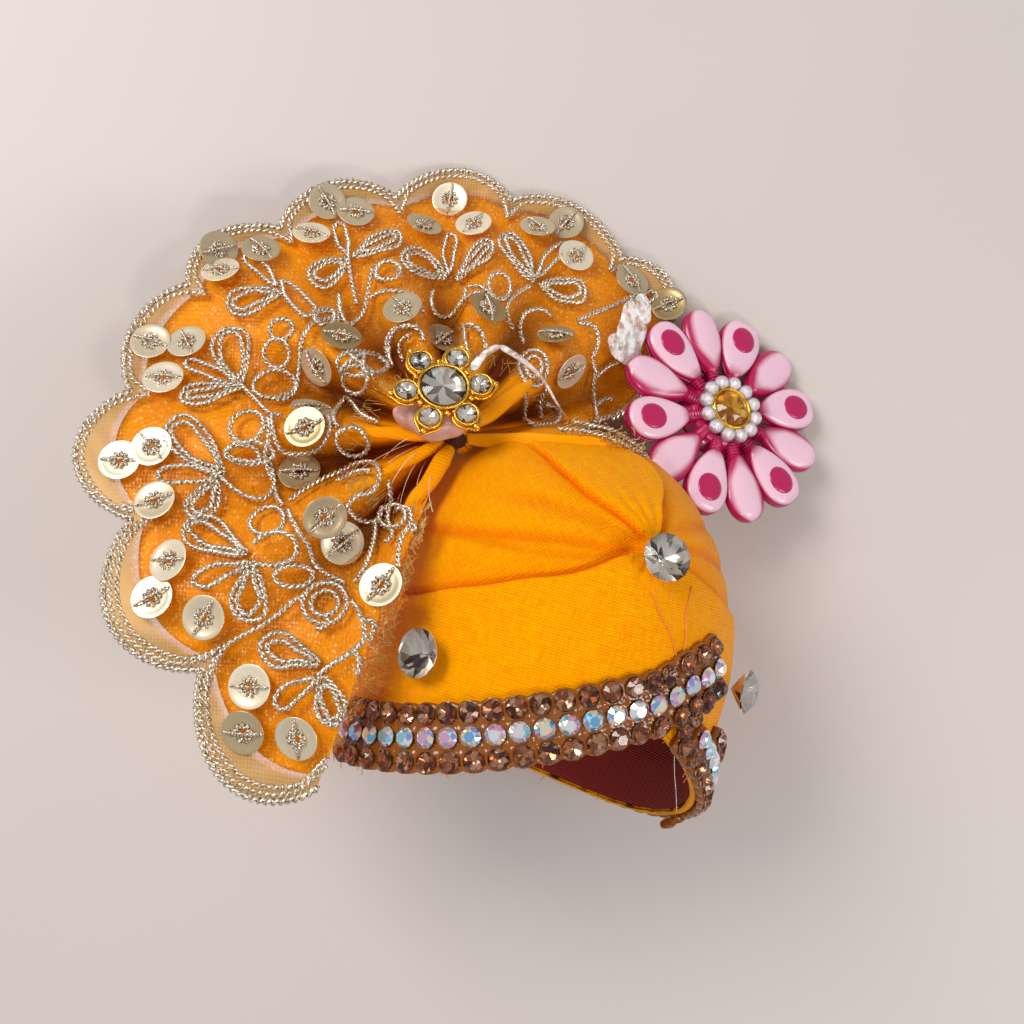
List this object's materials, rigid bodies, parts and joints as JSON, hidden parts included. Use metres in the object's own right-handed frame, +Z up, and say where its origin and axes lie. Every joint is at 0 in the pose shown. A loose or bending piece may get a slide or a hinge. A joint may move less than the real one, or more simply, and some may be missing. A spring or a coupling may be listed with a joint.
{
  "type": "tied turban pagri",
  "caption": "Small hollow wrapped silk cap lying on its side, with a pleated lace fan tied at its crown, rhinestone rim trim, a gold brooch and a moulded flower.",
  "frame": {"origin": "middle of the underside of the whole part, on the surface it lies on", "axes": "+Z up from the surface; +Y to where the crown and the fan point; +X to the side of the brow and the flower"},
  "size_m": [0.0954, 0.0902, 0.0468],
  "materials": {
    "silk": "bright saffron orange silk, soft sheen",
    "lining": "matte maroon ribbed weave",
    "trim": "smoky and rainbow-coated rhinestones on a clear amber base",
    "satin": "orange satin, pleated",
    "tulle": "sheer gold net with metallic embroidery and sequins",
    "zari": "twisted silver-gold metallic cord",
    "gold": "bright gold plating",
    "crystal": "clear cut stone",
    "citrine": "foiled yellow cut stone",
    "glue": "cloudy hot glue",
    "petal": "pale pink moulded resin with magenta sides",
    "petal_core": "magenta moulded resin"
  },
  "bodies": {
    "root": {"cap_shell": "silk", "cap_lining": "lining", "rim_band_right": "trim", "rim_band_left": "trim", "chaton_front": "crystal", "chaton_right": "crystal", "chaton_left": "crystal", "fan_satin": "satin", "fan_lace": "tulle", "fan_border_cord": "zari", "fan_tie": "satin", "brooch_setting": "gold", "brooch_stone_centre": "crystal", "brooch_stone_1": "crystal", "brooch_stone_2": "crystal", "brooch_stone_3": "crystal", "brooch_stone_4": "crystal", "brooch_stone_5": "crystal", "brooch_stone_6": "crystal", "brooch_glue": "glue", "flower_core": "petal_core", "flower_petal_1": "petal", "flower_petal_2": "petal", "flower_petal_3": "petal", "flower_petal_4": "petal", "flower_petal_5": "petal", "flower_petal_6": "petal", "flower_petal_7": "petal", "flower_petal_8": "petal", "flower_petal_9": "petal", "flower_petal_10": "petal", "flower_petal_11": "petal", "flower_petal_12": "petal", "flower_bezel": "gold", "flower_stone": "citrine", "flower_glue": "glue"}
  },
  "joints": []
}
